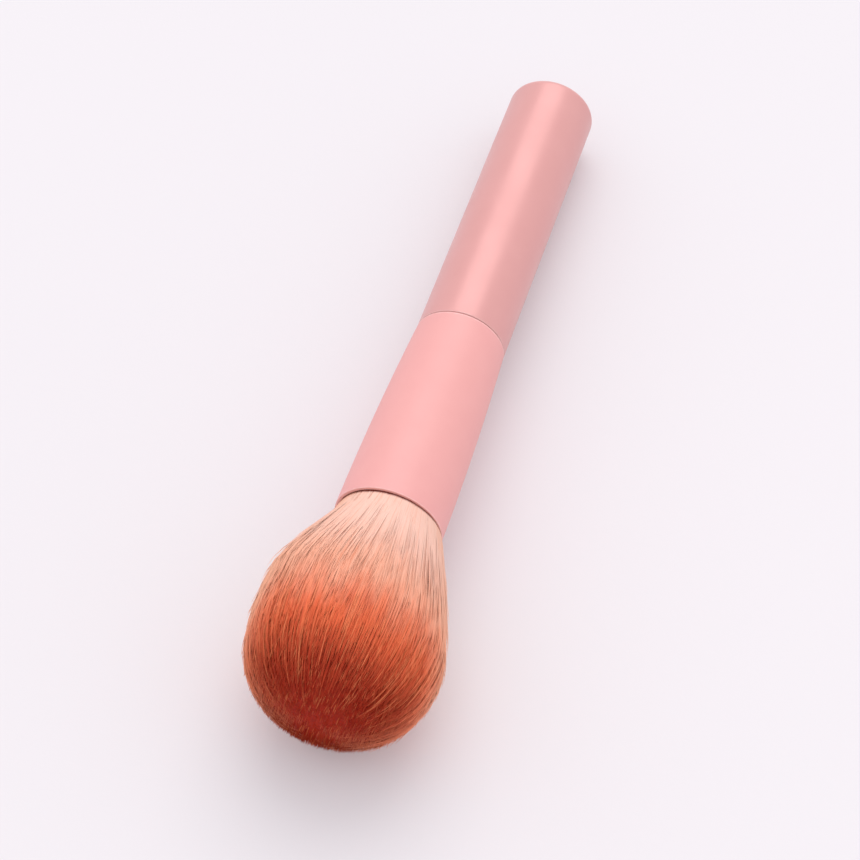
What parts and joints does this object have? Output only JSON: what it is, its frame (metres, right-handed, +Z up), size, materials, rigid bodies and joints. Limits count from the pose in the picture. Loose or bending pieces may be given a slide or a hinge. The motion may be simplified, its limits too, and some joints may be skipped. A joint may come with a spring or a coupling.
{
  "type": "double-ended makeup brush",
  "caption": "Capped makeup brush: a domed powder head in a flared sleeve, and a small detail head on a neck under a pull-off cap.",
  "frame": {"origin": "on the surface that the brush lies on, under the middle of its footprint", "axes": "+X along the brush from the powder tuft to the cap's closed end, +Z up; the brush lies at rest on its tuft and the edge of the cap's end, so its own axis dips by 3.5 degrees towards +X"},
  "size_m": [0.1791, 0.0383, 0.039],
  "materials": {
    "powder_bristle": "fine synthetic filament, peach at the root and deep coral at the tip",
    "detail_bristle": "fine synthetic filament, coral",
    "root_glue": "cured epoxy",
    "ferrule_cup": "anodised, dark rose",
    "sleeve_pink": "soft-touch salmon pink lacquer",
    "core_pink": "moulded, satin",
    "neck_metal": "satin rose anodised",
    "ferrule_metal": "polished rose anodised",
    "cap_pink": "satin dusty pink lacquer",
    "liner_plastic": "natural moulded polypropylene"
  },
  "bodies": {
    "handle": {"powder_bristles": "powder_bristle", "powder_root_glue": "root_glue", "powder_ferrule_cup": "ferrule_cup", "flared_sleeve": "sleeve_pink", "handle_core": "core_pink", "neck_tube": "neck_metal", "detail_ferrule": "ferrule_metal", "detail_root_glue": "root_glue", "detail_bristles": "detail_bristle"},
    "cap": {"cap_shell": "cap_pink", "cap_liner": "liner_plastic"}
  },
  "joints": [
    {"name": "cap_pull", "type": "slide", "parent": "handle", "child": "cap", "axis": [0.9981, 0, -0.0609], "range_m": [0, 0.0582]}
  ]
}
